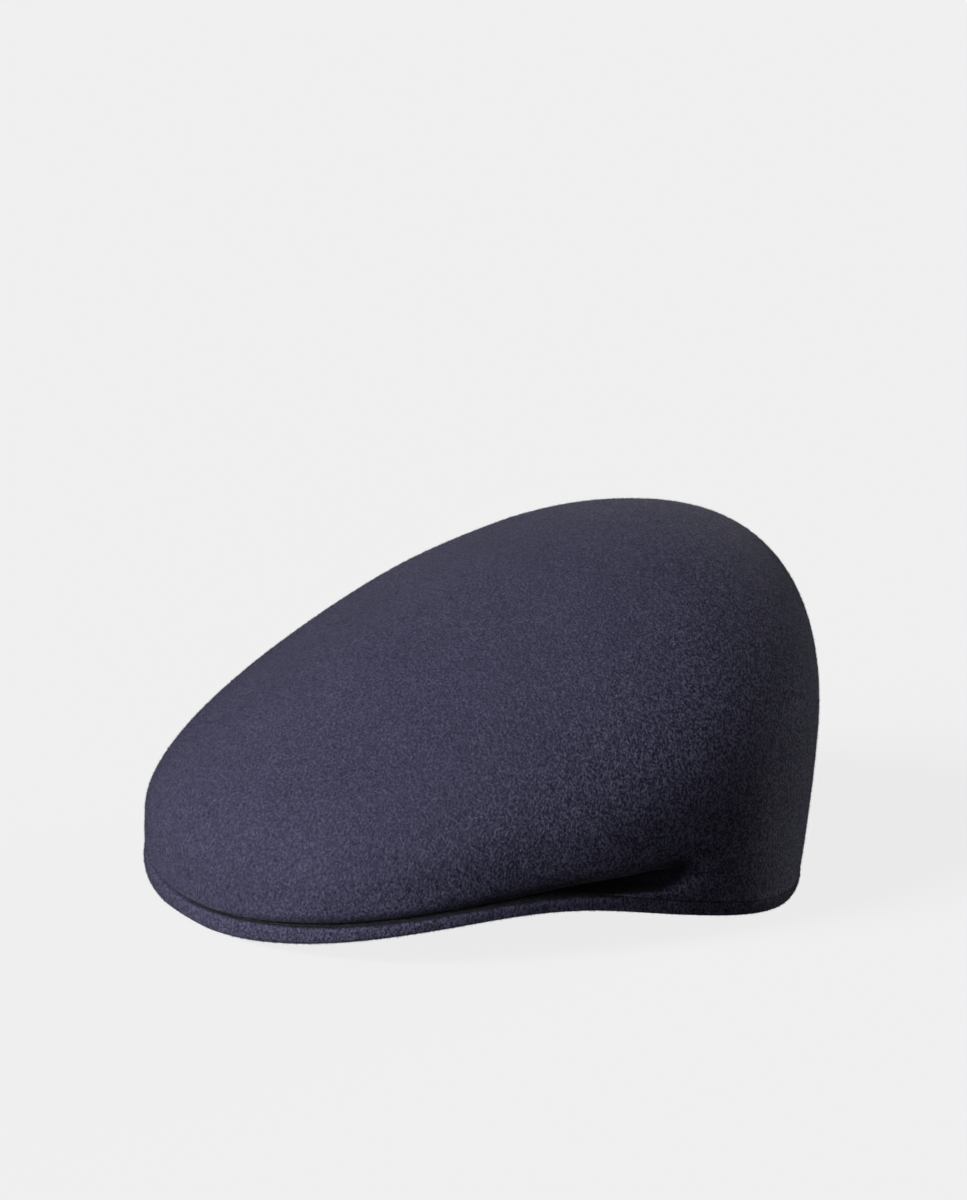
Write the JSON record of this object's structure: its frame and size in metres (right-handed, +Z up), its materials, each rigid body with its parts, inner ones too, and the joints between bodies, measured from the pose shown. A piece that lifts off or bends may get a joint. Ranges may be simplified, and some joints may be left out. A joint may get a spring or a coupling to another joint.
{
  "type": "wool felt flat cap",
  "caption": "Soft seamless felt cap whose crown is drawn forward over a short peak and hangs over the band at each side, resting on its hem.",
  "frame": {"origin": "on the surface that the cap rests on, in the middle of its length and width", "axes": "the peak points to -Y and the back of the cap to +Y, +X is the wearer's left, +Z is up"},
  "size_m": [0.2058, 0.2606, 0.1352],
  "materials": {
    "felt": "short-nap felted wool, dark slate blue, matt"
  },
  "bodies": {
    "root": {"crown": "felt", "peak_and_hem": "felt"}
  },
  "joints": []
}
